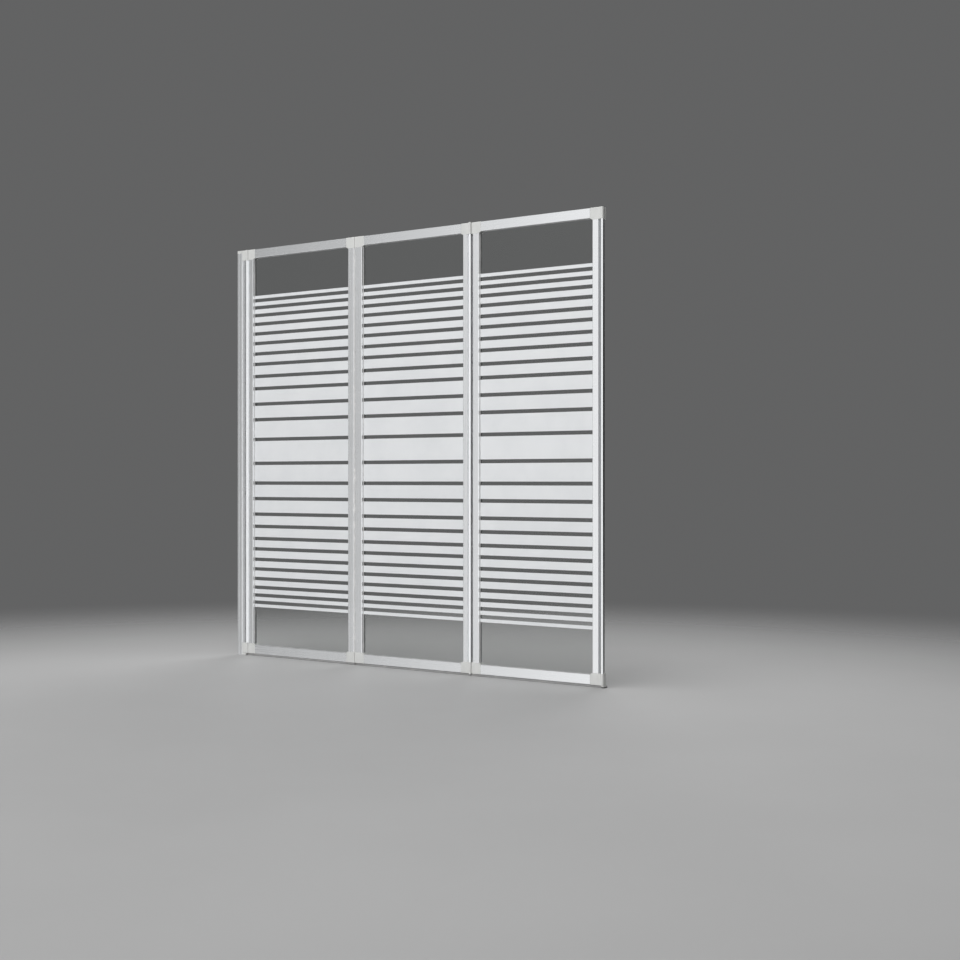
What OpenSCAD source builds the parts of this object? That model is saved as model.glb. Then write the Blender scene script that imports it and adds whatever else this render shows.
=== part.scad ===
// Folding screen: three framed glass panels in one line, hinged to each other in a zigzag,
// and to a wall profile that takes up an uneven wall.
// X runs along the screen from the mounting face, Y from front to back with 0 at mid-depth,
// and Z up, with 0 at the foot of the wall profile.

/* [Overall] */
// Height of the panel frames over their corner caps
frame_h = 1206; // [800:1:1600]
// Free height below the panel frames, filled by the bottom seals
foot_gap = 6; // [5:0.5:12]
// Depth of the stiles and rails, front face to back face
frame_d = 18; // [17:0.5:26]

/* [Panels] */
// Distance from the mounting face to the first hinge axis
wall_reach = 40; // [36:1:60]
// Width of the first panel, hinge axis to hinge axis
panel1_w = 416; // [200:1:700]
// Width of the second panel, hinge axis to hinge axis
panel2_w = 402; // [200:1:690]
// Width of the third panel, hinge axis to free edge
panel3_w = 412; // [200:1:700]

/* [Stiles and rails] */
// Width of a stile that carries a hinge tube, from the hinge axis to its inner edge
tube_stile_w = 23.5; // [23:0.5:40]
// Width of a stile that faces a hinge tube, from the hinge axis to its inner edge
seat_stile_w = 27.5; // [26.5:0.5:44]
// Height of the rails, from the end of the frame to the glass side
rail_h = 26; // [20:0.5:50]
// Wall thickness of the hollow stiles and rails
profile_t = 1.6; // [1.2:0.1:2.2]
// Rounding of the long edges beside the glass
edge_r = 1.25; // [1:0.25:4]
// Rounding of the other long edges
nose_r = 0.8; // [0.4:0.1:1.5]
// Gap on each side of the hinge axis between two stiles
stile_gap = 3.5; // [3:0.1:4.5]
// Distance from the hinge axis to the face of the tube stile
tube_groove_w = 8.2; // [7.5:0.1:9.5]
// Depth of the groove beside the hinge tube
tube_groove_d = 4.6; // [3.5:0.1:6]
// Distance from the hinge axis to the face of the seat stile
seat_groove_w = 9.9; // [8.5:0.1:11.5]
// Depth of the recess that the hinge tube turns in
seat_groove_d = 5.2; // [4.6:0.1:7]

/* [Hinges] */
// Distance of the hinge axes outside the face of the frames
axis_out = 1; // [0.8:0.1:1.5]
// Outer radius of the hinge tubes and of the bead on the free edge
tube_r = 3.1; // [2.8:0.05:3.4]
// Outer radius of the eyes that turn on the pins
eye_r = 3.5; // [3.1:0.05:3.9]
// Radius of the hinge pins
pin_r = 1.5; // [1:0.05:1.7]
// Radial clearance of a pin in its eye
pin_fit = 0.08; // [0.02:0.01:0.1]
// Radial clearance of a pin in its tube
pin_seat = 0.02; // [0.01:0.01:0.05]
// Length of a pin inside its tube
pin_l = 25; // [15:1:60]
// Play along the axis between an eye and a tube
eye_play = 0.4; // [0.3:0.05:0.8]
// How far the eyes of the panel hinges pass the ends of the frame
eye_rise = 1.2; // [0:0.1:2]

/* [Corner caps] */
// Height of the corner caps
cap_h = 30.5; // [27:0.5:60]
// How far a cap reaches along its rail past the stile
cap_in = 7; // [4:0.5:20]
// How far the caps stand proud of the stiles and rails
cap_proud = 0.5; // [0.2:0.05:0.6]
// Rounding of the upright edges of the caps
cap_r = 1.5; // [0.6:0.1:2.4]
// Rounding of the long edges at the ends of the frame
top_r = 1.5; // [1:0.1:4]
// Gap from the hinge axis to the cap of a tube stile
tube_cap_gap = 1.5; // [1.2:0.1:3]
// Gap from the hinge axis to the cap of a seat stile
seat_cap_gap = 2.7; // [2.2:0.1:3.5]
// Depth of the step beside the eye of a panel hinge
eye_step = 2.3; // [0.5:0.1:3]
// Thickness of the arm that carries an eye
arm_t = 3.2; // [2.4:0.1:4]
// Length of the plugs that hold a cap in its stile and rail
plug_l = 14; // [8:1:30]
// Clearance round the plugs
plug_fit = 0.2; // [0.1:0.05:0.4]
// Gap between two neighbouring caps on the side away from the hinge
lap_gap = 1; // [0.6:0.1:2]
// Depth below the hinge face from which the caps reach up to that gap
lap_at = 7; // [6.5:0.1:9]

/* [Glazing] */
// Thickness of the glass
glass_t = 4; // [3:0.5:6]
// How deep the glass sits in the frame
glass_bite = 8; // [5:0.5:8]
// Thickness of the gasket on each side of the glass
gasket_t = 1.2; // [0.8:0.1:1.5]
// How far the gasket shows beside the rails
gasket_lip = 0.5; // [0.3:0.1:3]
// How far the gasket shows beside the stiles
side_lip = 1.2; // [0.3:0.1:3]

/* [Printed stripes] */
// Clear glass above and below the stripes
clear_band = 113; // [20:1:250]
// Clear gap between two stripes
stripe_gap = 10.3; // [4:0.1:12]
// Thickness of the print
print_t = 0.15; // [0.1:0.05:0.3]

/* [Seals] */
// Clearance between a hinge seal and the stile that it meets
seal_gap = 1; // [0.4:0.1:1.5]
// Depth of the hinge seal below the face of the frame
seal_set = 0.5; // [0.2:0.1:1.5]
// Thickness of the hinge seal
seal_t = 5; // [3:0.1:6]
// Width of the bottom seals
bottom_seal_w = 12; // [8:0.5:15]
// Thickness of the lips of the bottom seals
lip_t = 1.4; // [0.8:0.1:2.5]
// Clearance between the lips and the surface below
lip_gap = 0.4; // [0.3:0.1:1]

/* [Wall fixing] */
// Width of the wall profile
wall_w = 18.5; // [16:0.5:21]
// Wall thickness of the wall profile
wall_t = 2; // [1.5:0.1:2.5]
// Distance from the hinge axis to the step of the adjuster
adjuster_head = 15.5; // [13:0.5:17]
// How deep the adjuster reaches into the wall profile
adjuster_in = 14.5; // [10:0.5:16]
// Running clearance of the adjuster in the wall profile
adjuster_fit = 0.3; // [0.1:0.05:0.5]
// Radius of the fixing holes
fixing_r = 2.75; // [1.5:0.05:3.5]
// Distance from the ends of the wall profile to the first fixing hole
fixing_inset = 90; // [70:1:200]
// Number of fixing holes
fixing_count = 4; // [2:1:8]
// Radius of the adjuster screws
screw_r = 1.6; // [1:0.1:2]
// Radius of their countersunk heads
screw_head_r = 2.7; // [2.3:0.1:3]
// Depth of the shallow groove on both faces of the wall profile
wall_groove_d = 0.5; // [0.2:0.1:0.7]
// Width of that groove
wall_groove_w = 6; // [5.5:0.1:8]
// Height of the cap on the wall profile
wall_cap_t = 8; // [2:0.5:12]

/* [Free edge] */
// How much farther the bead of the free edge stands from its stile than a hinge tube does
end_set = 1.5; // [0:0.1:3]
// Thickness of the trim on the side of the stile, behind the bead
end_plate_t = 2; // [1.6:0.1:3]
// Outer radius of the round corner that the caps of the free edge have in line with the bead
end_eye_r = 4.5; // [3.5:0.1:5]
// Distance from the axis of the bead to the side of the caps behind it
end_reach = 0.8; // [0:0.1:2]
// Length of the rubber foot
foot_l = 7.5; // [7:0.5:16]
// Thickness of the rubber foot
foot_t = 2.5; // [1.5:0.1:4]
// Distance of the foot inside the faces of the frame
foot_in = 0.5; // [0.5:0.1:2]
// Radius of the peg on the rubber foot
peg_r = 1.2; // [0.8:0.1:1.5]

/* [Hidden] */
$fn = 48;
hair = 0.01;
// How far a cut runs past a face, and a solid into the rest of its own piece
over = 1;

// Heights of the stripes from the middle one outwards, as drawn on a field of full height
stripe_heights = [61, 48.5, 36, 36, 26, 26, 20.7, 20.7, 18.4, 18.4, 15.7, 13, 11, 9];

frame_z0 = foot_gap;
frame_z1 = foot_gap + frame_h;
frame_mid = (frame_z0 + frame_z1) / 2;
half_d = frame_d / 2;
stile_l = frame_h - 2 * cap_h;

axis1_x = wall_reach;
axis2_x = axis1_x + panel1_w;
axis3_x = axis2_x + panel2_w;
end_x = axis3_x + panel3_w;
bead_x = end_x - end_eye_r;

// Inner edges of the stiles of each panel, left and right
opening = [
    [axis1_x + tube_stile_w, axis2_x - tube_stile_w],
    [axis2_x + seat_stile_w, axis3_x - tube_stile_w],
    [axis3_x + seat_stile_w, bead_x - end_set - seat_stile_w]
];

pocket_d = glass_bite + gasket_t;
pocket_t = glass_t + 2 * gasket_t;
opening_z0 = frame_z0 + rail_h;
opening_z1 = frame_z1 - rail_h;

tube_bore_r = pin_r + pin_seat;
eye_bore_r = pin_r + pin_fit;
eye_clear = 0.5;
eye_roof = 2;
eye_chamfer = 0.8;
neck_t = 2.6;

// Small tongue that holds a seal or a trim in the side of a stile
slot_t = 2;
slot_d = 1.4;
slot_at = frame_d - seal_set - seal_t / 2;

wall_half = half_d + cap_proud;
tongue_half = wall_half - wall_t - adjuster_fit;
tongue_x = wall_w - adjuster_in;
wall_plug_l = 10;
fixing_step = (frame_z1 - 2 * fixing_inset) / (fixing_count - 1);
screw_l = 8;

// Distance from the axis of the bead to the peg of the foot, a wall inside the side of the cap
peg_x = profile_t + plug_fit + peg_r - end_reach;
screw_zs = [frame_z0 + cap_h + fixing_inset / 2, frame_mid, frame_z1 - cap_h - fixing_inset / 2];

// A rectangle between two corners with rounded corners
module soft_rect(x0, y0, x1, y1, r) {
    translate([x0 + r, y0]) square([x1 - x0 - 2 * r, y1 - y0]);
    translate([x0, y0 + r]) square([x1 - x0, y1 - y0 - 2 * r]);
    for (x = [x0 + r, x1 - r], y = [y0 + r, y1 - r])
        translate([x, y]) circle(r);
}

// A plain rectangle between two corners
module rect(x0, y0, x1, y1) {
    translate([x0, y0]) square([x1 - x0, y1 - y0]);
}

// A box between two corners
module box(p0, p1) {
    translate(p0) cube(p1 - p0);
}

// Places a hinge section: its own x runs away from the axis, its y from the hinge face inwards
module at_axis(x, flip = false, back = false) {
    translate([x, back ? half_d : -half_d, 0])
        mirror([flip ? 1 : 0, 0, 0])
            mirror([0, back ? 1 : 0, 0])
                children();
}

// Places what is drawn below z = 0 at the top end of the frame, or mirrored at its bottom end
module at_end(bottom = false) {
    translate([0, 0, bottom ? frame_z0 : frame_z1])
        mirror([0, 0, bottom ? 1 : 0])
            children();
}

// The space in the frame of panel p that takes the glass and its gasket
module glass_pocket(p) {
    box([opening[p][0] - pocket_d, -pocket_t / 2, opening_z0 - pocket_d],
        [opening[p][1] + pocket_d, pocket_t / 2, opening_z1 + pocket_d]);
}

// Section of a stile with a hinge tube; the panel is on the negative side of the axis
module tube_section() {
    side = -stile_gap;
    neck_y = tube_groove_d + neck_t;
    chamber_x0 = pocket_d + profile_t - tube_stile_w;
    chamber_x1 = side - slot_d - profile_t;
    face_x = -tube_groove_w - profile_t;
    difference() {
        union() {
            difference() {
                union() {
                    soft_rect(-tube_stile_w, 0, side - nose_r - over, frame_d, edge_r);
                    soft_rect(edge_r - tube_stile_w, 0, side, frame_d, nose_r);
                }
                rect(-tube_groove_w, -over, 0, tube_groove_d);
            }
            polygon([
                [hair - tube_r, -axis_out], [-hair, -axis_out], [-hair, tube_r / 2],
                [side, neck_y + neck_t], [side - neck_t, neck_y], [side - neck_t, tube_groove_d]
            ]);
            translate([0, -axis_out]) circle(tube_r);
        }
        translate([0, -axis_out]) circle(tube_bore_r);
        rect(chamber_x0, tube_groove_d + profile_t, chamber_x1, frame_d - profile_t);
        if (face_x > chamber_x0)
            rect(chamber_x0, profile_t, face_x, frame_d - profile_t);
        rect(side - slot_d, slot_at - slot_t / 2, side + over, slot_at + slot_t / 2);
    }
}

// Section of a stile that faces a hinge tube; the panel is on the positive side of the axis
module seat_section() {
    side = stile_gap;
    chamber_x0 = side + slot_d + profile_t;
    chamber_x1 = seat_stile_w - pocket_d - profile_t;
    difference() {
        union() {
            soft_rect(side + nose_r + over, 0, seat_stile_w, frame_d, edge_r);
            soft_rect(side, 0, seat_stile_w - edge_r, frame_d, nose_r);
        }
        rect(side - over, -over, seat_groove_w, seat_groove_d);
        rect(chamber_x0, seat_groove_d + profile_t, chamber_x1, frame_d - profile_t);
        rect(seat_groove_w + profile_t, profile_t, chamber_x1, frame_d - profile_t);
        rect(side - over, slot_at - slot_t / 2, side + slot_d, slot_at + slot_t / 2);
    }
}

// Plug boxes that hold a cap: one up the stile and one along the rail
module cap_plugs(x_stile0, x_stile1, y_stile0, x_rail0, x_rail1) {
    chamber_top = -rail_h + pocket_d + profile_t;
    box([x_stile0 + plug_fit, y_stile0 + plug_fit, -cap_h - plug_l],
        [x_stile1 - plug_fit, frame_d - profile_t - plug_fit, over - cap_h]);
    box([x_rail0, profile_t + plug_fit, chamber_top + plug_fit],
        [x_rail1, frame_d - profile_t - plug_fit, -cap_proud - profile_t - plug_fit]);
}

// Front view of a cap between a stile and a rail, as a solid through the whole depth
module cap_front(x_in, x_edge, x_out) {
    translate([0, frame_d + cap_proud + over, 0])
        rotate([90, 0, 0])
            linear_extrude(frame_d + 2 * (cap_proud + over))
                polygon([
                    [x_out, 0], [x_in, 0], [x_in, -rail_h - cap_proud], [x_edge, -cap_h], [x_out, -cap_h]
                ]);
}

// Side view of the caps, which rounds the two long edges at the end of the frame
module cap_side(x0, x1) {
    translate([x0, 0, 0])
        rotate([90, 0, 90])
            linear_extrude(x1 - x0)
                soft_rect(-cap_proud, -cap_h - 2 * top_r, frame_d + cap_proud, 0, top_r);
}

// Plan view of a cap from the hinge end x_out to x_in, with the lap that closes up behind the hinge
module cap_plan(x_out, x_in) {
    soft_rect(x_out, -cap_proud, x_in, frame_d + cap_proud, cap_r);
    soft_rect(lap_gap / 2, lap_at, x_in - cap_r, frame_d + cap_proud, cap_r);
}

// Cap of a tube stile, drawn at the top end of the frame
module tube_cap_body() {
    x_in = -tube_stile_w - cap_in;
    difference() {
        union() {
            intersection() {
                cap_front(x_in, -tube_stile_w, -lap_gap / 2);
                cap_side(x_in, -lap_gap / 2);
                translate([0, 0, -cap_h])
                    linear_extrude(cap_h)
                        mirror([1, 0, 0]) cap_plan(tube_cap_gap, -x_in);
            }
            cap_plugs(pocket_d + profile_t - tube_stile_w, -stile_gap - slot_d - profile_t,
                tube_groove_d + profile_t, x_in - plug_l, x_in + over);
        }
        translate([0, -axis_out, -cap_h - over])
            cylinder(h = cap_h + 2 * over, r = eye_r + eye_clear);
    }
}

// Eye and arm that reach out to the hinge axis, with a step of the given depth beside the eye
module eye_arm(x_end, step, rise) {
    z0 = -cap_h + eye_play;
    difference() {
        union() {
            translate([0, -axis_out, z0]) cylinder(h = rise - eye_chamfer - z0, r = eye_r);
            translate([0, -axis_out, rise - eye_chamfer])
                cylinder(h = eye_chamfer, r1 = eye_r, r2 = eye_r - eye_chamfer);
            box([0, step - cap_proud, z0], [x_end, step - cap_proud + arm_t, -eye_chamfer]);
        }
        translate([0, -axis_out, z0 - over])
            cylinder(h = over - z0 - eye_roof, r = eye_bore_r);
    }
}

// Cap of a seat stile, drawn at the top end of the frame
module seat_cap_body() {
    x_in = seat_stile_w + cap_in;
    x_step = seat_groove_w - nose_r;
    intersection() {
        cap_front(x_in, seat_stile_w, lap_gap / 2);
        cap_side(lap_gap / 2, x_in);
        translate([0, 0, -cap_h])
            linear_extrude(cap_h)
                union() {
                    cap_plan(x_step, x_in);
                    soft_rect(seat_cap_gap, eye_step, x_in - cap_r, frame_d + cap_proud, cap_r);
                }
    }
    cap_plugs(stile_gap + slot_d + profile_t, seat_stile_w - pocket_d - profile_t,
        seat_groove_d + profile_t, x_in - over, x_in + plug_l);
}

// Cap of the free edge, drawn from the axis of its bead: the bead stands at its front corner
module free_cap_body(foot_side = false) {
    x_in = end_set + seat_stile_w + cap_in;
    foot_x0 = foot_in - end_eye_r;
    difference() {
        union() {
            intersection() {
                cap_front(x_in, end_set + seat_stile_w, -end_reach);
                cap_side(-end_reach, x_in);
                translate([0, 0, -cap_h])
                    linear_extrude(cap_h)
                        soft_rect(-end_reach, -cap_proud, x_in, frame_d + cap_proud, cap_r);
            }
            translate([0, -axis_out, -cap_h])
                cylinder(h = cap_h - eye_chamfer, r = end_eye_r);
            translate([end_set, 0, 0])
                cap_plugs(stile_gap + slot_d + profile_t, seat_stile_w - pocket_d - profile_t,
                    seat_groove_d + profile_t, x_in - end_set - over, x_in - end_set + plug_l);
            if (foot_side)
                box([foot_x0, foot_in, -over],
                    [foot_x0 + foot_l, frame_d - foot_in, foot_gap - foot_t]);
        }
        if (foot_side)
            translate([peg_x, half_d, -cap_h / 4])
                cylinder(h = cap_h, r = peg_r + plug_fit);
    }
}

module wall_profile() {
    color("#c9cccd")
        difference() {
            linear_extrude(frame_z1 - wall_cap_t)
                difference() {
                    soft_rect(0, -wall_half, wall_w, wall_half, nose_r);
                    rect(wall_t, wall_t - wall_half, wall_w + over, wall_half - wall_t);
                    for (side = [-1, 1])
                        translate([wall_w / 2, side * wall_half])
                            square([wall_groove_w, 2 * wall_groove_d], center = true);
                }
            for (k = [0 : fixing_count - 1])
                translate([-over, 0, fixing_inset + k * fixing_step])
                    rotate([0, 90, 0]) cylinder(h = wall_t + 2 * over, r = fixing_r);
            for (z = screw_zs)
                adjuster_screw(z, pin_seat);
        }
}

// Countersunk screw from the back face of the wall profile, larger all round by grow
module adjuster_screw(z, grow = 0) {
    head_y = wall_half - wall_groove_d;
    head_l = screw_head_r - screw_r;
    translate([wall_w / 2, head_y, z])
        rotate([90, 0, 0]) {
            cylinder(h = head_l + grow, r1 = screw_head_r + grow, r2 = screw_r + grow);
            cylinder(h = screw_l + grow, r = screw_r + grow);
        }
}

module wall_cap() {
    color("#d3d4d0")
        union() {
            translate([0, 0, frame_z1 - wall_cap_t])
                linear_extrude(wall_cap_t)
                    soft_rect(0, -wall_half, wall_w, wall_half, nose_r);
            box([wall_t + plug_fit, wall_t + plug_fit - wall_half, frame_z1 - wall_cap_t - wall_plug_l],
                [wall_w - plug_fit, wall_half - wall_t - plug_fit, frame_z1 - wall_cap_t]);
        }
}

module adjuster() {
    leg_end = axis1_x - tongue_x;
    color("#c2c5c6")
        difference() {
            translate([0, 0, frame_z0 + cap_h])
                linear_extrude(stile_l)
                    at_axis(axis1_x, true)
                        difference() {
                            union() {
                                soft_rect(stile_gap, 0, adjuster_head, frame_d, nose_r);
                                for (y = [half_d - tongue_half, half_d + tongue_half - profile_t])
                                    rect(adjuster_head - profile_t, y, leg_end, y + profile_t);
                            }
                            rect(stile_gap - over, -over, seat_groove_w, seat_groove_d);
                            rect(stile_gap + profile_t, seat_groove_d + profile_t,
                                adjuster_head - profile_t, frame_d - profile_t);
                            rect(seat_groove_w + profile_t, profile_t,
                                adjuster_head - profile_t, frame_d - profile_t);
                        }
            for (z = screw_zs)
                adjuster_screw(z, pin_seat);
        }
}

// Cap of the adjuster: its tongue lies in the wall profile, its eye on the first hinge axis
module adjuster_cap(bottom = false) {
    x_wall = axis1_x - wall_w - adjuster_fit;
    tongue_z = bottom ? foot_gap : -wall_cap_t - wall_plug_l - adjuster_fit;
    color("#d3d4d0")
        at_end(bottom)
            at_axis(axis1_x, true) {
                intersection() {
                    cap_side(lap_gap / 2, x_wall);
                    translate([0, 0, -cap_h])
                        linear_extrude(cap_h)
                            cap_plan(seat_cap_gap, x_wall);
                }
                box([x_wall - 2 * cap_r, half_d - tongue_half, -cap_h],
                    [axis1_x - tongue_x, half_d + tongue_half, tongue_z]);
                box([stile_gap + profile_t + plug_fit, seat_groove_d + profile_t + plug_fit,
                        -cap_h - plug_l],
                    [adjuster_head - profile_t - plug_fit, frame_d - profile_t - plug_fit,
                        over - cap_h]);
                if (bottom)
                    box([2 * stile_gap, foot_in, -over], [x_wall, frame_d - foot_in, foot_gap]);
                eye_arm(seat_groove_w, 0, 0);
            }
}

module adjuster_screws() {
    color("#9a9c9e")
        for (z = screw_zs)
            adjuster_screw(z);
}

module tube_stile(p, x, flip = false, back = false) {
    color("#c9cccd")
        difference() {
            translate([0, 0, frame_z0 + cap_h])
                linear_extrude(stile_l)
                    at_axis(x, flip, back) tube_section();
            glass_pocket(p);
        }
}

module seat_stile(p, x, flip = false, back = false) {
    color("#c9cccd")
        difference() {
            translate([0, 0, frame_z0 + cap_h])
                linear_extrude(stile_l)
                    at_axis(x, flip, back) seat_section();
            glass_pocket(p);
        }
}

module rail(p, bottom = false) {
    x0 = opening[p][0] + cap_in;
    rail_l = opening[p][1] - cap_in - x0;
    color("#c9cccd")
        difference() {
            at_end(bottom)
                translate([x0, 0, 0])
                    rotate([90, 0, 90])
                        linear_extrude(rail_l)
                            difference() {
                                soft_rect(-half_d, -rail_h, half_d, -cap_proud, top_r);
                                rect(profile_t - half_d, pocket_d + profile_t - rail_h,
                                    half_d - profile_t, -cap_proud - profile_t);
                                if (bottom)
                                    rect(-slot_t / 2, -cap_proud - profile_t - over, slot_t / 2, over);
                            }
            glass_pocket(p);
        }
}

module tube_cap(p, x, bottom = false, flip = false, back = false) {
    color("#d3d4d0")
        difference() {
            at_end(bottom)
                at_axis(x, flip, back) tube_cap_body();
            glass_pocket(p);
        }
}

module seat_cap(p, x, bottom = false, flip = false, back = false) {
    color("#d3d4d0")
        difference() {
            at_end(bottom)
                at_axis(x, flip, back) {
                    seat_cap_body();
                    eye_arm(seat_groove_w, eye_step, eye_rise);
                }
            glass_pocket(p);
        }
}

module free_cap(bottom = false) {
    color("#d3d4d0")
        difference() {
            at_end(bottom)
                at_axis(bead_x, true) free_cap_body(bottom);
            glass_pocket(2);
        }
}

module glass(p) {
    color("#9fb3ad", 0.35)
        box([opening[p][0] - glass_bite, -glass_t / 2, opening_z0 - glass_bite],
            [opening[p][1] + glass_bite, glass_t / 2, opening_z1 + glass_bite]);
}

module gasket(p) {
    color("#2c2d2e")
        difference() {
            glass_pocket(p);
            glass(p);
            box([opening[p][0] + side_lip, -pocket_t, opening_z0 + gasket_lip],
                [opening[p][1] - side_lip, pocket_t, opening_z1 - gasket_lip]);
        }
}

// Sum of the first n stripe heights counted from the middle one
function height_sum(n) = n == 0 ? 0 : stripe_heights[n - 1] + height_sum(n - 1);

// The stripes fill the glass between the clear bands, and lie in step on both sides of the middle
module stripes(p) {
    last = len(stripe_heights) - 1;
    field = opening_z1 - opening_z0 - 2 * clear_band;
    drawn = 2 * height_sum(last + 1) - stripe_heights[0];
    grow = (field - 2 * last * stripe_gap) / drawn;
    x0 = opening[p][0] + side_lip;
    x1 = opening[p][1] - side_lip;
    color("#eef2f4")
        for (k = [-last : last]) {
            n = abs(k);
            below = grow * (height_sum(n) - stripe_heights[0] / 2) + n * stripe_gap;
            low = k == 0 ? -grow * stripe_heights[0] / 2 : below;
            high = k == 0 ? -low : below + grow * stripe_heights[n];
            box([x0, -glass_t / 2 - print_t, frame_mid + (k < 0 ? -high : low)],
                [x1, -glass_t / 2, frame_mid + (k < 0 ? -low : high)]);
        }
}

// Seal with two lips under panel p, from x0 to x1
module bottom_seal(p, x0, x1) {
    half_w = bottom_seal_w / 2;
    base_z = foot_gap - lip_t;
    rail_x0 = opening[p][0] + cap_in;
    rail_x1 = opening[p][1] - cap_in;
    color("#232425") {
        box([x0, -half_w, base_z], [x1, half_w, foot_gap]);
        for (y = [-half_w, half_w - lip_t])
            box([x0, y, lip_gap], [x1, y + lip_t, base_z]);
        box([rail_x0, -half_w, foot_gap], [rail_x1, half_w, foot_gap + cap_proud]);
        box([rail_x0, plug_fit - slot_t / 2, foot_gap + cap_proud],
            [rail_x1, slot_t / 2 - plug_fit, foot_gap + cap_proud + profile_t]);
    }
}

// Soft bulb between two stiles, on the side away from the hinge tube
module hinge_seal(x, flip = false, back = false) {
    y0 = frame_d - seal_set - seal_t;
    bulb_r = seal_t / 2 - hair;
    color("#e2e4e4")
        translate([0, 0, frame_z0 + cap_h])
            linear_extrude(stile_l)
                at_axis(x, flip, back) {
                    soft_rect(seal_gap / 2 - stile_gap, y0, stile_gap - seal_gap, y0 + seal_t,
                        min(bulb_r, stile_gap - seal_gap));
                    rect(-stile_gap, slot_at - slot_t / 2, 0, slot_at + slot_t / 2);
                    rect(-stile_gap - slot_d + plug_fit, slot_at - slot_t / 2 + plug_fit,
                        -stile_gap, slot_at + slot_t / 2 - plug_fit);
                }
}

// The pins at both ends of one hinge
module hinge_pins(x, back = false) {
    color("#8f9193")
        for (bottom = [false, true])
            at_end(bottom)
                at_axis(x, false, back)
                    translate([0, -axis_out, -cap_h - pin_l])
                        cylinder(h = pin_l + cap_h - eye_roof - eye_play, r = pin_r);
}

// Trim clipped to the side of the last stile: a bead in line with the hinge tubes, on an arm and a
// plate that lies against the stile
module end_trim() {
    side = end_set + stile_gap;
    arm_y = seat_groove_d + neck_t;
    color("#c9cccd")
        translate([0, 0, frame_z0 + cap_h])
            linear_extrude(stile_l)
                at_axis(bead_x, true) {
                    translate([0, -axis_out]) circle(tube_r);
                    rect(-neck_t / 2, 0, neck_t / 2, arm_y);
                    rect(-neck_t / 2, seat_groove_d, side, arm_y);
                    soft_rect(side - end_plate_t, seat_groove_d, side, frame_d,
                        min(nose_r, end_plate_t / 2 - hair));
                    rect(side - over, slot_at - slot_t / 2 + plug_fit,
                        side + slot_d - plug_fit, slot_at + slot_t / 2 - plug_fit);
                }
}

module foot() {
    color("#1d1e1e")
        union() {
            box([end_x - foot_in - foot_l, foot_in - half_d, 0],
                [end_x - foot_in, half_d - foot_in, foot_t]);
            translate([bead_x - peg_x, 0, foot_t - over])
                cylinder(h = foot_gap - foot_t + cap_h / 4, r = peg_r);
        }
}

wall_profile();
wall_cap();
adjuster();
adjuster_cap();  // adjuster_cap_top
adjuster_cap(true);  // adjuster_cap_bottom
adjuster_screws();

tube_stile(0, axis1_x, true);  // panel1_stile_left
tube_stile(0, axis2_x, false, true);  // panel1_stile_right
rail(0);  // panel1_rail_top
rail(0, true);  // panel1_rail_bottom
tube_cap(0, axis1_x, false, true);  // panel1_cap_top_left
tube_cap(0, axis2_x, false, false, true);  // panel1_cap_top_right
tube_cap(0, axis1_x, true, true);  // panel1_cap_bottom_left
tube_cap(0, axis2_x, true, false, true);  // panel1_cap_bottom_right
glass(0);  // panel1_glass
gasket(0);  // panel1_gasket
stripes(0);  // panel1_stripes
bottom_seal(0, axis1_x + tube_cap_gap, axis2_x - tube_cap_gap);  // panel1_bottom_seal

seat_stile(1, axis2_x, false, true);  // panel2_stile_left
tube_stile(1, axis3_x);  // panel2_stile_right
rail(1);  // panel2_rail_top
rail(1, true);  // panel2_rail_bottom
seat_cap(1, axis2_x, false, false, true);  // panel2_cap_top_left
tube_cap(1, axis3_x);  // panel2_cap_top_right
seat_cap(1, axis2_x, true, false, true);  // panel2_cap_bottom_left
tube_cap(1, axis3_x, true);  // panel2_cap_bottom_right
glass(1);  // panel2_glass
gasket(1);  // panel2_gasket
stripes(1);  // panel2_stripes
bottom_seal(1, axis2_x + seat_cap_gap, axis3_x - tube_cap_gap);  // panel2_bottom_seal

seat_stile(2, axis3_x);  // panel3_stile_left
seat_stile(2, bead_x - end_set, true);  // panel3_stile_right
rail(2);  // panel3_rail_top
rail(2, true);  // panel3_rail_bottom
seat_cap(2, axis3_x);  // panel3_cap_top_left
free_cap();  // panel3_cap_top_right
seat_cap(2, axis3_x, true);  // panel3_cap_bottom_left
free_cap(true);  // panel3_cap_bottom_right
glass(2);  // panel3_glass
gasket(2);  // panel3_gasket
stripes(2);  // panel3_stripes
bottom_seal(2, axis3_x + seat_cap_gap, end_x - foot_in - foot_l);  // panel3_bottom_seal
end_trim();  // panel3_end_trim
foot();  // panel3_foot

hinge_pins(axis1_x);  // wall_hinge_pins
hinge_seal(axis1_x, true);  // wall_hinge_seal
hinge_pins(axis2_x, true);  // middle_hinge_pins
hinge_seal(axis2_x, false, true);  // middle_hinge_seal
hinge_pins(axis3_x);  // outer_hinge_pins
hinge_seal(axis3_x);  // outer_hinge_seal
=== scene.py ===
import math

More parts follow.
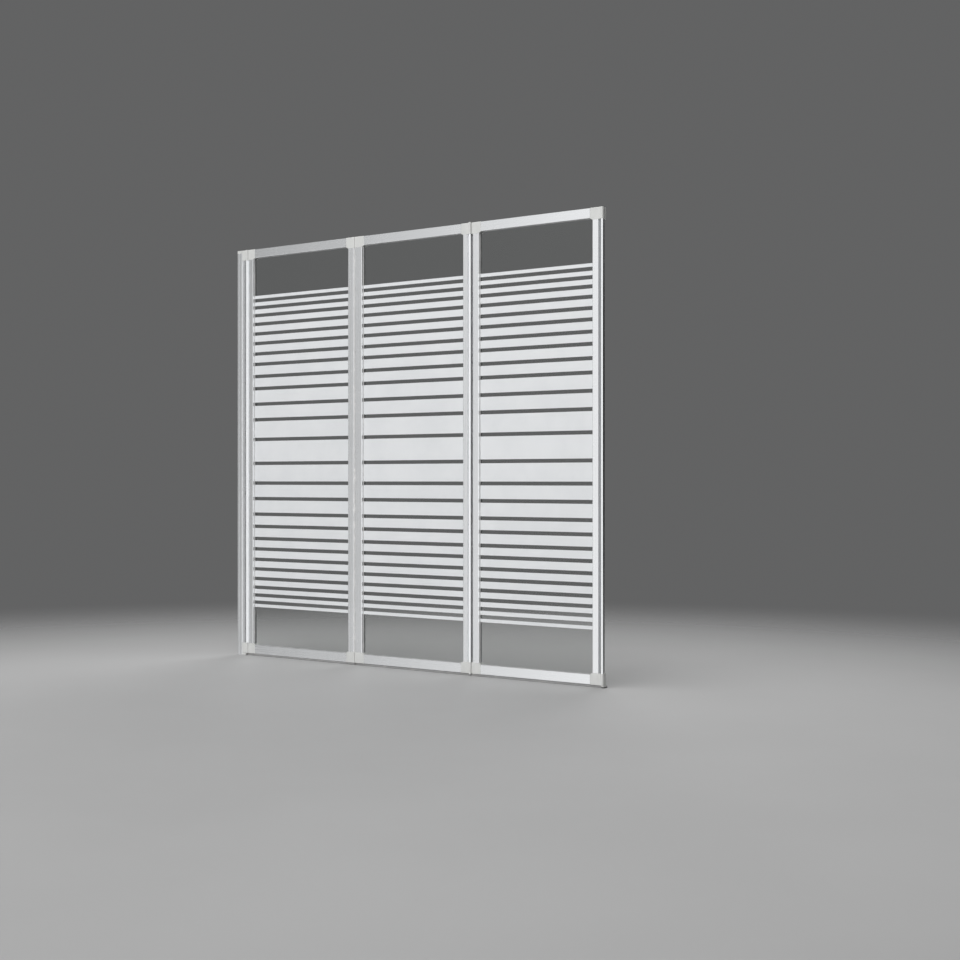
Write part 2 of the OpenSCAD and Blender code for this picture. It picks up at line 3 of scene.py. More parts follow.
import bmesh
import bpy
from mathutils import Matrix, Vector


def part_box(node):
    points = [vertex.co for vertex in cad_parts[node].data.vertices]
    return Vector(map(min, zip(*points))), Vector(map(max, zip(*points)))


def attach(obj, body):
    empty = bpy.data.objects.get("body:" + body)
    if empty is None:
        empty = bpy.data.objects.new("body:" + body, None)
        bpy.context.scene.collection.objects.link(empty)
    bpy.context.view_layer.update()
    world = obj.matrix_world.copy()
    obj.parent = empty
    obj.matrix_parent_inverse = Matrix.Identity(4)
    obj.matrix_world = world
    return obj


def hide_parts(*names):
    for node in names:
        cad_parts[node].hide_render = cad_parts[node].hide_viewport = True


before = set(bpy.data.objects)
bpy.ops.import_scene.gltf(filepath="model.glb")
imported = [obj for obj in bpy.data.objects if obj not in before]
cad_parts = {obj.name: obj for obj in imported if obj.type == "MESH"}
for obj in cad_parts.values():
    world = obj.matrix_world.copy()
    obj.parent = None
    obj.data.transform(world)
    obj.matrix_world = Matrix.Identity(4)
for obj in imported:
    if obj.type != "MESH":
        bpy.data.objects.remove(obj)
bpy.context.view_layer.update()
print("frame loaded with", len(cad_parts), "nodes")

mm = 0.001


class Wire:  # a socket of a tree; sums and products of wires add their own Math nodes
    def __init__(self, graph, socket):
        self.graph, self.socket = graph, socket

    def math(self, operation, first, second=0.0):
        return self.graph.node("ShaderNodeMath", {"operation": operation}, {0: first, 1: second})

    def __add__(self, other): return self.math("ADD", self, other)
    def __radd__(self, other): return self.math("ADD", other, self)
    def __sub__(self, other): return self.math("SUBTRACT", self, other)
    def __rsub__(self, other): return self.math("SUBTRACT", other, self)
    def __mul__(self, other): return self.math("MULTIPLY", self, other)
    def __rmul__(self, other): return self.math("MULTIPLY", other, self)
    def __pow__(self, other): return self.math("POWER", self, other)
    def most(self, other): return self.math("MAXIMUM", self, other)

    def ramp(self, low, high, toLow=0.0, toHigh=1.0):  # soft step from low to high
        return self.graph.node("ShaderNodeMapRange", {"interpolation_type": "SMOOTHSTEP"}, {
            "Value": self, "From Min": low, "From Max": high, "To Min": toLow, "To Max": toHigh})


class Graph:  # a shader tree or a geometry tree
    def __init__(self, tree):
        self.tree = tree
        tree.nodes.clear()

    def node(self, kind, settings=None, sockets=None, out=0):
        made = self.tree.nodes.new(kind)
        for name, value in (settings or {}).items():
            setattr(made, name, value)
        for name, value in (sockets or {}).items():
            self.plug(made.inputs[name], value)
        return Wire(self, made.outputs[out])

    def plug(self, socket, value):
        if isinstance(value, Wire):
            self.tree.links.new(value.socket, socket)
        else:
            socket.default_value = value

    def mixed(self, factor, first, second):  # colours only
        return self.node("ShaderNodeMix", {"data_type": "RGBA"}, {0: factor, 6: first, 7: second}, out=2)

    def split(self, vector):
        return [self.node("ShaderNodeSeparateXYZ", {}, {0: vector}, out=axis) for axis in "XYZ"]

    def ray(self, kind):
        return self.node("ShaderNodeLightPath", out="Is " + kind + " Ray")


class Finish(Graph):  # a material with one Principled shader
    def __init__(self, name, **fixed):
        self.material = bpy.data.materials.new(name)
        self.material.use_nodes = True
        super().__init__(self.material.node_tree)
        self.shader = self.tree.nodes.new("ShaderNodeBsdfPrincipled")
        self.output = self.tree.nodes.new("ShaderNodeOutputMaterial")
        self.tree.links.new(self.shader.outputs[0], self.output.inputs[0])
        for name, value in fixed.items():
            self.shader.inputs[name].default_value = value

    def spot(self):
        return self.node("ShaderNodeTexCoord", out="Object")

    def noise(self, perMetre, detail, roughness=0.55):  # perMetre is one number, or one for each axis
        scale = perMetre if isinstance(perMetre, tuple) else (perMetre,) * 3
        where = self.node("ShaderNodeMapping", {}, {"Vector": self.spot(), "Scale": scale})
        return self.node("ShaderNodeTexNoise", {}, {
            "Vector": where, "Scale": 1.0, "Detail": detail, "Roughness": roughness})

    def bump(self, height, strength, depth):  # depth in millimetres
        return self.node("ShaderNodeBump", {}, {
            "Strength": strength, "Distance": depth * mm, "Height": height})

    def feed(self, **wires):
        names = {"colour": "Base Color", "roughness": "Roughness", "normal": "Normal"}
        for name, wire in wires.items():
            self.plug(self.shader.inputs[names[name]], wire)
        return self.material

    def cover(self, factor, clear):  # another shader over the Principled one
        self.plug(self.output.inputs[0], self.node("ShaderNodeMixShader", {}, {
            0: factor, 1: Wire(self, self.shader.outputs[0]), 2: clear}))


def grey(level, warm=0.0):  # a linear grey, a little warm or cool
    return (level * (1 + warm), level, level * (1 - warm), 1)


def drawn(across, along, axis):  # scale of a noise that is drawn out along one axis
    return tuple(along if k == axis else across for k in range(3))


profileLook = {
    "light": grey(0.835, -0.008), "dark": grey(0.807, -0.012), "contrast": (0.3, 0.7),
    "roughness": 0.27, "varies": 0.05, "bump": 0.035, "bumpDepth": 0.03,
    "linesAcross": 1500, "linesAlong": 4, "cloudsPerMetre": 5, "specksPerMetre": 900,
    "toneShares": (0.45, 0.4, 0.15), "bumpShares": (0.8, 0.2),
    # the open groove beside the last bead, whose floor gets painted shade (the colour named recess is that
    # painted shade), sizes in millimetres
    "recess": grey(0.36, -0.02), "recessDull": 0.12, "recessWide": 6.5,
    "recessEdge": 0.3, "recessFade": 1.5, "recessEnd": 1.0,
}


def anodised(name, axis, recess=None):  # satin anodised aluminium with fine drawing lines along one axis, and painted shade on the floor of a given recess
    look = profileLook
    finish = Finish(name, Metallic=1.0)
    lines = finish.noise(drawn(look["linesAcross"], look["linesAlong"], axis), 2)
    clouds = finish.noise(look["cloudsPerMetre"], 4)
    speck = finish.noise(look["specksPerMetre"], 1)
    byLines, byClouds, bySpeck = look["toneShares"]
    tone = lines * byLines + clouds * byClouds + speck * bySpeck
    colour = finish.mixed(tone.ramp(*look["contrast"]), look["dark"], look["light"])
    roughness = look["roughness"] + (lines - 0.5) * look["varies"] + (clouds - 0.5) * look["varies"]
    if recess:  # painted shade: its floor is painted darker, and it is duller
        x, y = finish.split(finish.spot())[:2]
        side, face = recess
        recessShade = x.ramp(side, side + look["recessEdge"] * mm) * y.ramp(face, face + look["recessFade"] * mm)
        recessShade = recessShade * (1 - y.ramp(0, look["recessEnd"] * mm))
        colour = finish.mixed(recessShade, colour, look["recess"])
        roughness = roughness + recessShade * look["recessDull"]
    byLines, bySpeck = look["bumpShares"]
    return finish.feed(
        colour=colour,
        roughness=roughness,
        normal=finish.bump(lines * byLines + speck * bySpeck, look["bump"], look["bumpDepth"]))


capLook = {
    "light": (0.72, 0.725, 0.71, 1), "dark": (0.68, 0.685, 0.67, 1), "contrast": (0.3, 0.7),
    "roughness": 0.4, "grainVaries": 0.12, "flowVaries": 0.08, "bump": 0.3, "bumpDepth": 0.04,
    "grainPerMetre": 2600, "flowPerMetre": (60, 60, 25),
}


def mouldedPlastic(name):  # light grey plastic of the corner caps
    look = capLook
    finish = Finish(name)
    grain = finish.noise(look["grainPerMetre"], 2)
    flow = finish.noise(look["flowPerMetre"], 3)
    return finish.feed(
        colour=finish.mixed(flow.ramp(*look["contrast"]), look["dark"], look["light"]),
        roughness=look["roughness"] + (grain - 0.5) * look["grainVaries"] + (
            flow - 0.5) * look["flowVaries"],
        normal=finish.bump(grain, look["bump"], look["bumpDepth"]))


glassLook = {
    "tint": (0.855, 0.866, 0.861, 1), "wiped": (0.842, 0.856, 0.851, 1), "wipedFrom": (0.35, 0.75),
    "gloss": (0.15, 0.15, 0.15, 1), "index": 1.5, "haze": (0.45, 0.8, 0.0, 0.02), "hazeShares": (0.6, 0.4),
    "wipesPerMetre": (5, 5, 2.2), "streaksPerMetre": (160, 160, 5),
}


def clearGlass(name):
    look = glassLook
    finish = Finish(name, **{
        "IOR": look["index"], "Transmission Weight": 1.0, "Specular Tint": look["gloss"]})
    wiped = finish.noise(look["wipesPerMetre"], 4)
    streaks = finish.noise(look["streaksPerMetre"], 2)
    byWipes, byStreaks = look["hazeShares"]
    finish.cover(finish.ray("Shadow"),  # lamps reach the back of the print
                 finish.node("ShaderNodeBsdfTransparent", {}, {"Color": look["tint"]}))
    return finish.feed(
        colour=finish.mixed(wiped.ramp(*look["wipedFrom"]), look["tint"], look["wiped"]),
        roughness=(wiped * byWipes + streaks * byStreaks).ramp(*look["haze"]))


printLook = {
    "light": grey(0.86, -0.016), "dark": grey(0.82, -0.02), "contrast": (0.3, 0.7),
    "roughness": 0.3, "screenVaries": 0.16, "cloudVaries": 0.08, "bump": 0.2, "bumpDepth": 0.03,
    "screenPerMetre": 3200, "cloudsPerMetre": 9,
}


def firedPrint(name):  # white enamel print on the glass
    look = printLook
    finish = Finish(name)
    screen = finish.noise(look["screenPerMetre"], 1)  # mesh of the printing screen
    clouds = finish.noise(look["cloudsPerMetre"], 3)
    return finish.feed(
        colour=finish.mixed(clouds.ramp(*look["contrast"]), look["dark"], look["light"]),
        roughness=look["roughness"] + (screen - 0.5) * look["screenVaries"] + (
            clouds - 0.5) * look["cloudVaries"],
        normal=finish.bump(screen, look["bump"], look["bumpDepth"]))


rubberLook = {
    "dustRaises": 1.35, "dustLeast": 0.004, "dustWarm": 0.02, "contrast": (0.45, 0.75),
    "varies": 0.15, "bump": 0.3, "bumpDepth": 0.06,
    "linesAcross": 1200, "linesAlong": 6, "dustPerMetre": 40,
}


def rubber(name, axis, level, roughness):  # rubber or soft plastic, extruded along one axis
    look = rubberLook
    finish = Finish(name)
    lines = finish.noise(drawn(look["linesAcross"], look["linesAlong"], axis), 2)
    dust = finish.noise(look["dustPerMetre"], 5, 0.7)
    dusty = grey(level * look["dustRaises"] + look["dustLeast"], look["dustWarm"])
    return finish.feed(
        colour=finish.mixed(dust.ramp(*look["contrast"]), grey(level), dusty),
        roughness=roughness + (lines - 0.5) * look["varies"] + (dust - 0.5) * look["varies"],
        normal=finish.bump(lines, look["bump"], look["bumpDepth"]))


steelLook = {
    "light": grey(0.6), "dark": grey(0.5, 0.01), "contrast": (0.35, 0.7),
    "roughness": 0.28, "ringVaries": 0.2, "stainVaries": 0.1, "bump": 0.2, "bumpDepth": 0.03,
    "ringsPerMetre": (300, 300, 6000), "stainsPerMetre": 250,
}


def groundSteel(name):  # stainless pins and screws, ground round their axis
    look = steelLook
    finish = Finish(name, Metallic=1.0)
    rings = finish.noise(look["ringsPerMetre"], 1)
    stain = finish.noise(look["stainsPerMetre"], 3)
    return finish.feed(
        colour=finish.mixed(stain.ramp(*look["contrast"]), look["dark"], look["light"]),
        roughness=look["roughness"] + (rings - 0.5) * look["ringVaries"] + (
            stain - 0.5) * look["stainVaries"],
        normal=finish.bump(rings, look["bump"], look["bumpDepth"]))


uprightMetal = anodised("anodised upright", 2)
railMetal = anodised("anodised rail", 0)
lastLow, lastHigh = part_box("panel3_stile_right")
# the last stile's open groove gets painted shade on its floor
recessShadedMetal = anodised("anodised upright, open recess", 2, (
    lastHigh.x - profileLook["recessWide"] * mm, lastLow.y + profileLook["recessEdge"] * mm))
capMatter = mouldedPlastic("cap plastic")
glassMatter = clearGlass("clear glass")
printMatter = firedPrint("stripe print")
gasketMatter = rubber("glazing seal", 2, 0.58, 0.4)
hingeSealMatter = rubber("hinge seal", 2, 0.66, 0.32)
bottomSealMatter = rubber("bottom seal", 0, 0.34, 0.4)
footMatter = rubber("foot rubber", 2, 0.014, 0.65)
steelMatter = groundSteel("ground steel")
print("finishes made")


# the first of these that is part of a node's name decides its material
matters = {
    "rail": railMetal, "panel3_stile_right": recessShadedMetal, "stile": uprightMetal, "trim": uprightMetal,
    "wall_profile": uprightMetal, "cap": capMatter, "glass": glassMatter, "stripes": printMatter,
    "gasket": gasketMatter, "hinge_seal": hingeSealMatter, "bottom_seal": bottomSealMatter,
    "foot": footMatter, "adjuster_screws": steelMatter, "adjuster": uprightMetal, "pins": steelMatter,
}
for name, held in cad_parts.items():
    matter = next(matter for part, matter in matters.items() if part in name)
    held.data.materials.clear()
    held.data.materials.append(matter)
print("solids dressed")


def linked(thing):
    bpy.context.scene.collection.objects.link(thing)
    return thing


def meshOf(name, points, edges=(), faces=()):
    mesh = bpy.data.meshes.new(name)
    mesh.from_pydata(points, edges, faces)
    return mesh


class Shaper(Graph):  # a geometry tree with named inputs
    def __init__(self, name, **inputs):
        super().__init__(bpy.data.node_groups.new(name, "GeometryNodeTree"))
        self.tree.is_modifier = True
        sockets = self.tree.interface
        sockets.new_socket("Geometry", in_out="INPUT", socket_type="NodeSocketGeometry")
        sockets.new_socket("Geometry", in_out="OUTPUT", socket_type="NodeSocketGeometry")
        self.keys = {}
        for title, kind in inputs.items():
            socket = sockets.new_socket(title, in_out="INPUT", socket_type="NodeSocket" + kind)
            self.keys[title] = socket.identifier
        self.entry = self.tree.nodes.new("NodeGroupInput")
        self.exit = self.tree.nodes.new("NodeGroupOutput")

    def given(self, title):
        return Wire(self, self.entry.outputs[title])

    def finish(self, geometry):  # real meshes with their material, as the export needs them
        real = self.node("GeometryNodeRealizeInstances", {}, {0: geometry})
        self.plug(self.exit.inputs[0], self.node("GeometryNodeSetMaterial", {}, {
            "Geometry": real, "Material": self.given("Material")}))

    def make(self, name, start, **values):  # the tree's result on the start mesh, as a plain mesh
        carrier = linked(bpy.data.objects.new(name + "_carrier", start))
        modifier = carrier.modifiers.new("shaper", "NODES")
        modifier.node_group = self.tree
        for title, value in values.items():
            modifier[self.keys[title]] = value
        graph = bpy.context.evaluated_depsgraph_get()
        mesh = bpy.data.meshes.new_from_object(carrier.evaluated_get(graph), depsgraph=graph)
        bpy.data.objects.remove(carrier)
        return linked(bpy.data.objects.new(name, mesh))


def standsFor(piece, node, body):
    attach(piece, body)
    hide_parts(node)


# the printed stripes: one law for all three panels, drawn from the middle stripe outwards
printSizes = {
    "heights": [61, 48.5, 36, 36, 26, 26, 20.7, 20.7, 18.4, 18.4, 15.7, 13, 11, 9],
    "gap": 10.3, "layer": 0.13, "skin": 0.01,
}


def stripeRows(low, high):  # centre and height of each stripe between two heights, in metres
    heights, gap = printSizes["heights"], printSizes["gap"]
    printed = 2 * sum(heights) - heights[0]
    grow = ((high - low) / mm - 2 * (len(heights) - 1) * gap) / printed
    middle, reach = (low + high) / 2, heights[0] * grow / 2
    rows = [(middle, heights[0] * grow * mm)]
    for height in heights[1:]:
        centre = (reach + gap + height * grow / 2) * mm
        rows += [(middle + side * centre, height * grow * mm) for side in (-1, 1)]
        reach += gap + height * grow
    return rows


def printTree():
    tree = Shaper("stripe print", Width="Float", Layer="Float", Material="Material")
    plate = tree.node("GeometryNodeMeshCube", {}, {"Size": (1, 1, 1)})
    height = tree.node("GeometryNodeInputNamedAttribute", {"data_type": "FLOAT"}, {"Name": "stripeHeight"})
    size = tree.node("ShaderNodeCombineXYZ", {}, {
        "X": tree.given("Width"), "Y": tree.given("Layer"), "Z": height})
    tree.finish(tree.node("GeometryNodeInstanceOnPoints", {}, {
        "Points": tree.given("Geometry"), "Instance": plate, "Scale": size}))
    return tree


def makePrint(tree, panel):
    node = panel + "_stripes"
    low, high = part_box(node)
    rows = stripeRows(low.z, high.z)
    layer, skin = printSizes["layer"] * mm, printSizes["skin"] * mm
    start = meshOf(node, [((low.x + high.x) / 2, high.y - skin - layer / 2, z) for z, _ in rows])
    tall = start.attributes.new("stripeHeight", "FLOAT", "POINT")
    for k, (_, height) in enumerate(rows):
        tall.data[k].value = height
    piece = tree.make(panel + "_print", start, Width=high.x - low.x, Layer=layer, Material=printMatter)
    standsFor(piece, node, panel)


# countersunk screws with a cross recess, in the back of the wall profile
screwSizes = {"head": 2.7, "shank": 1.6, "length": 8.0, "recess": 1.55, "recessWide": 0.5,
              "recessDeep": 1.3, "sides": 40, "seed": 3}


def screwTree():
    tree = Shaper("cross screws", Head="Float", Shank="Float", Length="Float", Recess="Float",
                  RecessWide="Float", RecessDeep="Float", Sides="Int", Seed="Int", Material="Material")
    head, shank, length = tree.given("Head"), tree.given("Shank"), tree.given("Length")
    flare = head - shank  # a 90 degree countersink
    cone = tree.node("GeometryNodeMeshCone", {}, {
        "Vertices": tree.given("Sides"), "Radius Top": head, "Radius Bottom": shank, "Depth": flare})
    stem = tree.node("GeometryNodeMeshCylinder", {}, {
        "Vertices": tree.given("Sides"), "Radius": shank, "Depth": length - flare})
    cuts = []
    for wide, long in (("X", "Y"), ("Y", "X")):
        size = tree.node("ShaderNodeCombineXYZ", {}, {
            wide: tree.given("RecessWide"), long: tree.given("Recess") * 2,
            "Z": tree.given("RecessDeep") * 2})
        cuts.append(tree.node("GeometryNodeMeshCube", {}, {"Size": size}))

    def moved(geometry, height):
        return tree.node("GeometryNodeTransform", {}, {
            "Geometry": geometry, "Translation": tree.node("ShaderNodeCombineXYZ", {}, {"Z": height})})

    def joined(operation, *meshes):
        made = tree.node("GeometryNodeMeshBoolean", {"operation": operation, "solver": "EXACT"})
        node = made.socket.node
        for k, mesh in enumerate(meshes):
            tree.plug(node.inputs[0 if operation == "DIFFERENCE" and k == 0 else 1], mesh)
        return made

    body = joined("UNION", moved(cone, flare * -1), moved(stem, (flare + length) * -0.5))
    screw = joined("DIFFERENCE", body, *cuts)
    row = tree.node("GeometryNodeInstanceOnPoints", {}, {
        "Points": tree.given("Geometry"), "Instance": screw, "Rotation": (math.radians(-90), 0, 0)})
    spin = tree.node("FunctionNodeRandomValue", {"data_type": "FLOAT"}, {
        2: 0.0, 3: math.pi / 2, "Seed": tree.given("Seed")}, out=1)
    tree.finish(tree.node("GeometryNodeRotateInstances", {}, {
        "Instances": row, "Rotation": tree.node("ShaderNodeCombineXYZ", {}, {"Z": spin})}))
    return tree


def makeScrews():
    node = "adjuster_screws"
    low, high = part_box(node)
    radius = screwSizes["head"] * mm
    heights = (low.z + radius, (low.z + high.z) / 2, high.z - radius)
    start = meshOf(node, [((low.x + high.x) / 2, high.y, z) for z in heights])
    lengths = {key: screwSizes[name] * mm for key, name in {
        "Head": "head", "Shank": "shank", "Length": "length", "Recess": "recess",
        "RecessWide": "recessWide", "RecessDeep": "recessDeep"}.items()}
    piece = screwTree().make("wall_screws", start, Sides=screwSizes["sides"], Seed=screwSizes["seed"],
                             Material=steelMatter, **lengths)
    standsFor(piece, node, "wall_frame")


# strips of one section along a straight path: bottom seals and hinge seals
def stripTree():
    tree = Shaper("swept strip", Section="Object", Material="Material")
    section = tree.node("GeometryNodeObjectInfo", {"transform_space": "ORIGINAL"}, {
        "Object": tree.given("Section")}, out="Geometry")
    outline = tree.node("GeometryNodeMeshToCurve", {}, {0: section})
    path = tree.node("GeometryNodeMeshToCurve", {}, {0: tree.given("Geometry")})
    tree.finish(tree.node("GeometryNodeCurveToMesh", {}, {
        "Curve": path, "Profile Curve": outline, "Fill Caps": True}))
    return tree


def strip(tree, name, section, start, end, matter):  # section points lie across the path, in metres
    loop = meshOf(name, [(x, y, 0) for x, y in section],
                  [(k, (k + 1) % len(section)) for k in range(len(section))])
    outline = bpy.data.objects.new(name + "_section", loop)
    path = meshOf(name + "_path", [start, end], [(0, 1)])
    piece = tree.make(name, path, Section=outline, Material=matter)
    bpy.data.objects.remove(outline)
    return piece


def arc(x, y, radius, fromAngle, toAngle, steps=6):
    angles = [math.radians(fromAngle + (toAngle - fromAngle) * k / steps) for k in range(steps + 1)]
    return [(x + radius * math.cos(a), y + radius * math.sin(a)) for a in angles]


def wholeOf(name, parts):  # one piece from several, each a closed shell of its own
    shape = bmesh.new()
    for part in parts:
        shape.from_mesh(part.data)
    mesh = bpy.data.meshes.new(name)
    shape.to_mesh(mesh)
    shape.free()
    mesh.materials.append(parts[0].data.materials[0])
    for part in parts:
        bpy.data.objects.remove(part)
    return linked(bpy.data.objects.new(name, mesh))


# the U seal round each pane; depths are counted from the bottom of the glazing pocket
gasketSizes = {"glassHalf": 2.0, "railLip": 0.5, "nose": 0.4, "noseEnd": 20, "tuck": 0.1, "skin": 0.02}


def makeGasket(panel):
    node = panel + "_gasket"
    sizes = gasketSizes
    low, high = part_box(node)
    floor = (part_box(panel + "_glass")[0].x - low.x) / mm
    half = (high.y - low.y) / mm / 2
    glass = sizes["glassHalf"] + sizes["skin"]
    nose = sizes["nose"]

    def sectionOf(reach):
        lip = arc(reach - nose, nose - half, nose, -90, sizes["noseEnd"])
        side = [(0, -half)] + lip + [(reach - sizes["tuck"], -glass), (floor, -glass)]
        return side + [(depth, -across) for depth, across in reversed(side)]

    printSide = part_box(panel + "_stripes")[0].x
    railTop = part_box(panel + "_rail_bottom")[1].z
    besideStile = sectionOf((printSide - low.x) / mm)  # the lip ends where the print begins
    besideRail = sectionOf((railTop - low.z) / mm + sizes["railLip"])
    count = len(besideStile)
    points = []
    for xEnd, xWay, zEnd, zWay in ((low.x, 1, low.z, 1), (high.x, -1, low.z, 1),
                                   (high.x, -1, high.z, -1), (low.x, 1, high.z, -1)):
        points += [(xEnd + xWay * depthX * mm, across * mm, zEnd + zWay * depthZ * mm)
                   for (depthX, across), (depthZ, _) in zip(besideStile, besideRail)]
    faces = [(corner * count + k, corner * count + (k + 1) % count,
              (corner + 1) % 4 * count + (k + 1) % count, (corner + 1) % 4 * count + k)
             for corner in range(4) for k in range(count)]
    mesh = meshOf(node, points, (), faces)
    mesh.materials.append(gasketMatter)
    piece = faceOut(linked(bpy.data.objects.new(panel + "_glazing_seal", mesh)))
    standsFor(piece, node, panel)


def faceOut(piece):
    shape = bmesh.new()
    shape.from_mesh(piece.data)
    bmesh.ops.recalc_face_normals(shape, faces=shape.faces)
    shape.to_mesh(piece.data)
    shape.free()
    return piece


# the seal under each panel: a base with two lips that curve in and out again, and a tongue in the rail
bottomSealSizes = {
    "base": 1.4, "lip": 1.4, "tip": 0.8, "tipRise": 0.35, "waist": 0.55, "steps": 8,
    "shoulder": ((0.4, 0.0), (0.1, 0.15)), "lipDrop": 0.5,  # the rounded upper edge, inwards and down
    "corner": (0.5, 0.3), "tongue": 1.6, "tongueRise": 0.5,
}


def makeBottomSeal(tree, panel):
    node = panel + "_bottom_seal"
    sizes = bottomSealSizes
    low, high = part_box(node)
    railLow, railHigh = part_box(panel + "_rail_bottom")
    half = (high.y - low.y) / mm / 2
    top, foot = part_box(panel + "_cap_bottom_left")[0].z / mm, low.z / mm
    under = top - sizes["base"]

    def lipSide(across, start, end):  # one face of a lip, bowed towards the middle
        rows = []
        for k in range(sizes["steps"] + 1):
            part = k / sizes["steps"]
            rows.append((across - sizes["waist"] * math.sin(math.pi * part), start + (end - start) * part))
        return rows

    cornerIn, cornerDown = sizes["corner"]
    tip = foot + sizes["tipRise"]
    right = [(half - inwards, top - down) for inwards, down in sizes["shoulder"]]
    right += lipSide(half, top - sizes["lipDrop"], tip) + [(half - sizes["tip"] / 2, foot)]
    right += lipSide(half - sizes["tip"], tip, under - cornerDown)
    right += [(half - sizes["lip"] - cornerIn, under)]
    section = right + [(-across, height) for across, height in reversed(right)]
    # along +X the strip turns its section's axes to -Y and -Z
    turned = [(-across * mm, -height * mm) for across, height in section]
    skirt = strip(tree, node + "_skirt", turned, (low.x, 0, 0), (high.x, 0, 0), bottomSealMatter)
    halfTongue, neck = sizes["tongue"] / 2, top + sizes["tongueRise"]
    tongue = [(-across * mm, -height * mm) for across, height in (
        (-half, top), (-halfTongue, neck), (-halfTongue, high.z / mm),
        (halfTongue, high.z / mm), (halfTongue, neck), (half, top))]
    fin = strip(tree, node + "_fin", tongue, (railLow.x, 0, 0), (railHigh.x, 0, 0), bottomSealMatter)
    piece = wholeOf(panel + "_skirt_seal", [skirt, fin])
    standsFor(piece, node, panel)


# the soft bulb between two stiles, with two flutes in the face that shows
hingeSealSizes = {
    "flute": 0.4, "fluteAt": 1.0, "fluteWide": 0.45, "openAngle": 50, "steps": 44,
    "neck": 0.5, "rootHalf": 1.0, "tongueHalf": 0.8, "tongue": 1.2,
}
hingeSeals = (("wall_hinge", "panel1", (-1, 1)), ("middle_hinge", "panel1", (1, -1)),
              ("outer_hinge", "panel2", (1, 1)))  # signs of the seal's own axes in X and Y


def makeHingeSeal(tree, hinge, body, side):
    node = hinge + "_seal"
    sizes = hingeSealSizes
    low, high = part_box(node)
    xWay, yWay = side
    halfWide = ((high.x - low.x) / mm - sizes["tongue"] - sizes["neck"]) / 2
    halfDeep = (high.y - low.y) / mm / 2
    bend = 360 - sizes["openAngle"]
    outline = []
    for k in range(sizes["steps"] + 1):
        turn = math.radians(bend * (k / sizes["steps"] - 0.5))
        across, out = halfWide * math.cos(turn), halfDeep * math.sin(turn)
        if out > 0:
            out -= sizes["flute"] * math.exp(-((abs(across) - sizes["fluteAt"]) / sizes["fluteWide"]) ** 2)
        outline.append((across, out))
    back = -halfWide - sizes["neck"]
    halfTongue = sizes["tongueHalf"]
    stem = [(back, sizes["rootHalf"]), (back, halfTongue), (back - sizes["tongue"], halfTongue)]
    outline += stem + [(across, -out) for across, out in reversed(stem)]
    farX = high.x if xWay > 0 else low.x
    middleX = farX - xWay * halfWide * mm
    middleY = (low.y + high.y) / 2
    section = [(middleX + xWay * across * mm, middleY + yWay * out * mm) for across, out in outline]
    piece = strip(tree, hinge + "_bulb", section, (0, 0, low.z), (0, 0, high.z), hingeSealMatter)
    standsFor(faceOut(piece), node, body)


studio = {
    "backdrop": 0.124, "ambient": 0.28, "middle": (0.6, 0.0, 0.6),
    "floor": 0.46, "floorVaries": 0.015, "floorSize": 9.0, "floorRough": 0.55,
    "fadeMiddle": (1.2, -1.0), "fadeFrom": 1.3, "fadeTo": 3.6,  # where the floor turns into the backdrop
}
softboxes = {  # place, width and height in metres, power in watts
    "front softbox": ((1.8, -6.4, 2.3), 6.0, 4.4, 206),
    "top softbox": ((0.4, -1.6, 4.6), 3.2, 2.6, 85),
    "back softbox": ((-0.8, 4.4, 3.6), 3.4, 2.8, 150),
}
# each range is of a direction's X, Y or Z: from none to full, or between the two levels that follow it
shade = {"strength": 0.9, "x": (-0.2, 0.6), "y": (-0.5, 0.3)}  # less plain light from the right, behind
# what metal and gloss mirror, on top of the room
mirrored = {
    "room": 0.33,
    "glow": {"strength": 0.92, "x": (-0.706, -0.44), "ahead": (-0.5, 0.0),
             "fromAbove": (-0.5, -0.2, 0.4, 1.0), "fromLeft": (0.3, 0.7, 1.0, 0.6)},
    "strip": {"strength": 0.44, "x": (-0.3, 0.1), "ahead": (-0.4, 0.2)},  # to the right of the camera
    "floor": {"strength": 0.52, "down": (0.13, 0.35), "ahead": (-0.1, 0.3)},
    "board": {"x": (-0.2, 0.2), "y": (0.05, 0.35),  # dark, behind and to the right
              "bottom": (-0.17, -0.09), "top": (0.14, 0.3, 1.0, 0.0)},
}
view = {"place": (3.1292, -3.2066, 0.5237), "turn": (90, 0, 35), "lens": 55, "sensor": 36}


def makeFloor():  # a flat floor that fades into the backdrop
    shape = bmesh.new()
    bmesh.ops.create_circle(shape, cap_ends=True, segments=96, radius=studio["floorSize"])
    bmesh.ops.translate(shape, verts=shape.verts, vec=(studio["middle"][0], 0, 0))
    mesh = bpy.data.meshes.new("studio floor")
    shape.to_mesh(mesh)
    shape.free()
    floor = linked(bpy.data.objects.new("studio floor", mesh))
    finish = Finish("studio floor", Roughness=studio["floorRough"])
    x, y = finish.split(finish.spot())[:2]
    x, y = x - studio["fadeMiddle"][0], y - studio["fadeMiddle"][1]
    away = (x * x + y * y) ** 0.5
    reflected = finish.ray("Glossy") * (1 - finish.ray("Transmission"))
    finish.cover(away.ramp(studio["fadeFrom"], studio["fadeTo"]).most(reflected),
                 finish.node("ShaderNodeBsdfTransparent"))
    level, varies = studio["floor"], studio["floorVaries"]
    mesh.materials.append(finish.feed(colour=finish.mixed(
        finish.noise(2, 4).ramp(0.3, 0.7), grey(level * (1 - varies)), grey(level * (1 + varies)))))


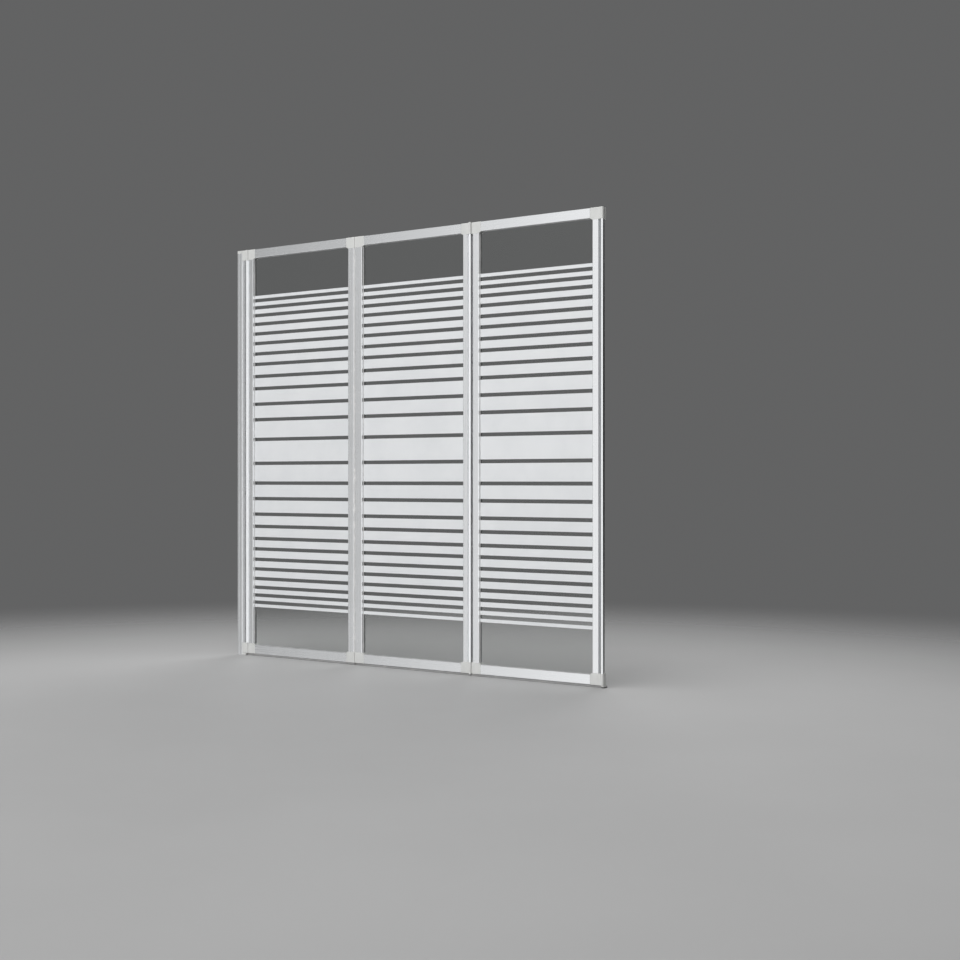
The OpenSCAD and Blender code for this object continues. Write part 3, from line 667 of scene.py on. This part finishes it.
def makeWorld():  # plain light for the surfaces, and the backdrop wherever it is seen
    world = bpy.data.worlds.new("studio")
    bpy.context.scene.world = world
    world.use_nodes = True
    sky = Graph(world.node_tree)
    direct, glossy, through = sky.ray("Camera"), sky.ray("Glossy"), sky.ray("Transmission")
    x, y, z = sky.split(sky.node("ShaderNodeTexCoord", out="Generated"))
    ahead = y * -1
    glow, strip, ground, board = [mirrored[name] for name in ("glow", "strip", "floor", "board")]
    front = x.ramp(*glow["x"]) * ahead.ramp(*glow["ahead"])
    front = front * z.ramp(*glow["fromAbove"]) * x.ramp(*glow["fromLeft"])
    brighter = x.ramp(*strip["x"]) * ahead.ramp(*strip["ahead"]) * strip["strength"]
    below = (z * -1).ramp(*ground["down"]) * ahead.ramp(*ground["ahead"]) * ground["strength"]
    dark = x.ramp(*board["x"]) * y.ramp(*board["y"]) * z.ramp(*board["bottom"]) * z.ramp(*board["top"])
    shaded = x.ramp(*shade["x"]) * y.ramp(*shade["y"]) * shade["strength"]
    light = sky.node("ShaderNodeBackground", {}, {
        "Color": grey(1.0), "Strength": (1 - shaded) * studio["ambient"]})
    bright = (front * (brighter + glow["strength"])).most(below)
    seen = bright + (1 - dark) * mirrored["room"] - studio["backdrop"]
    backdrop = sky.node("ShaderNodeBackground", {}, {
        "Color": grey(1.0, -0.006), "Strength": seen * glossy * (1 - through) + studio["backdrop"]})
    output = sky.tree.nodes.new("ShaderNodeOutputWorld")
    sky.plug(output.inputs[0], sky.node("ShaderNodeMixShader", {}, {
        0: direct.most(through).most(glossy), 1: light, 2: backdrop}))


def softbox(name, spot, width, height, power):
    data = bpy.data.lights.new(name, "AREA")
    data.shape, data.size, data.size_y, data.energy = "RECTANGLE", width, height, power
    lamp = linked(bpy.data.objects.new(name, data))
    lamp.location = spot
    lamp.visible_glossy = lamp.visible_transmission = False  # metal and glass mirror the world's soft glow
    lamp.rotation_euler = (Vector(studio["middle"]) - Vector(spot)).to_track_quat("-Z", "Y").to_euler()


def makeCamera():
    data = bpy.data.cameras.new("camera")
    data.lens, data.sensor_width = view["lens"], view["sensor"]
    camera = linked(bpy.data.objects.new("camera", data))
    camera.location = view["place"]
    camera.rotation_euler = [math.radians(angle) for angle in view["turn"]]
    bpy.context.scene.camera = camera


stripePrint = printTree()
sweptStrip = stripTree()
for panel in ("panel1", "panel2", "panel3"):
    makePrint(stripePrint, panel)
    makeGasket(panel)
    makeBottomSeal(sweptStrip, panel)
for hinge, body, side in hingeSeals:
    makeHingeSeal(sweptStrip, hinge, body, side)
makeScrews()
print("shaped pieces made")

makeFloor()
makeWorld()
for name, box in softboxes.items():
    softbox(name, *box)
makeCamera()
bpy.context.scene.view_settings.view_transform = "Standard"
print("studio ready")
